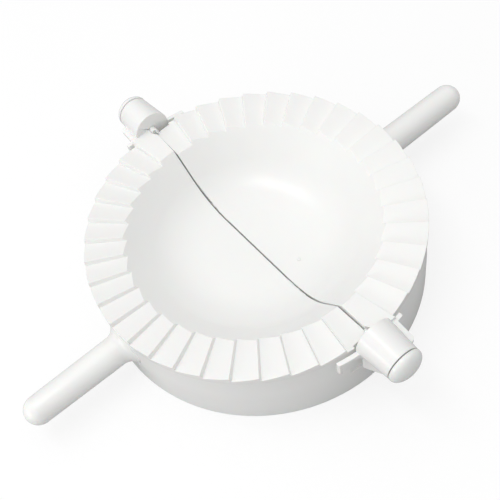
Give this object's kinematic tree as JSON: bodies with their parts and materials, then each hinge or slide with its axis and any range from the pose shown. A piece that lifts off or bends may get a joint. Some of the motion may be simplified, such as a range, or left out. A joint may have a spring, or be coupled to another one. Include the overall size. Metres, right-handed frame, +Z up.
{
  "type": "empanada press",
  "caption": "Hand press for empanadas and dumplings: two hinged half-bowls with a sawtooth crimping rim, a drum skirt to stand on and a rod handle on each half.",
  "frame": {"origin": "on the table under the middle of the open press", "axes": "+X along the hinge line, +Y towards the rear half's handle, +Z up from the table"},
  "size_m": [0.2328, 0.302, 0.0549],
  "materials": {
    "white_plastic": "semi-gloss moulded polypropylene"
  },
  "bodies": {
    "front": {"front_half": "white_plastic", "front_hinge_cap": "white_plastic"},
    "rear": {"rear_half": "white_plastic", "rear_hinge_cap": "white_plastic"}
  },
  "joints": [
    {"name": "fold_hinge", "type": "hinge", "parent": "front", "child": "rear", "pos_m": [0, 0, 0.044], "axis": [1, 0, 0], "range_deg": [0, 180]}
  ]
}
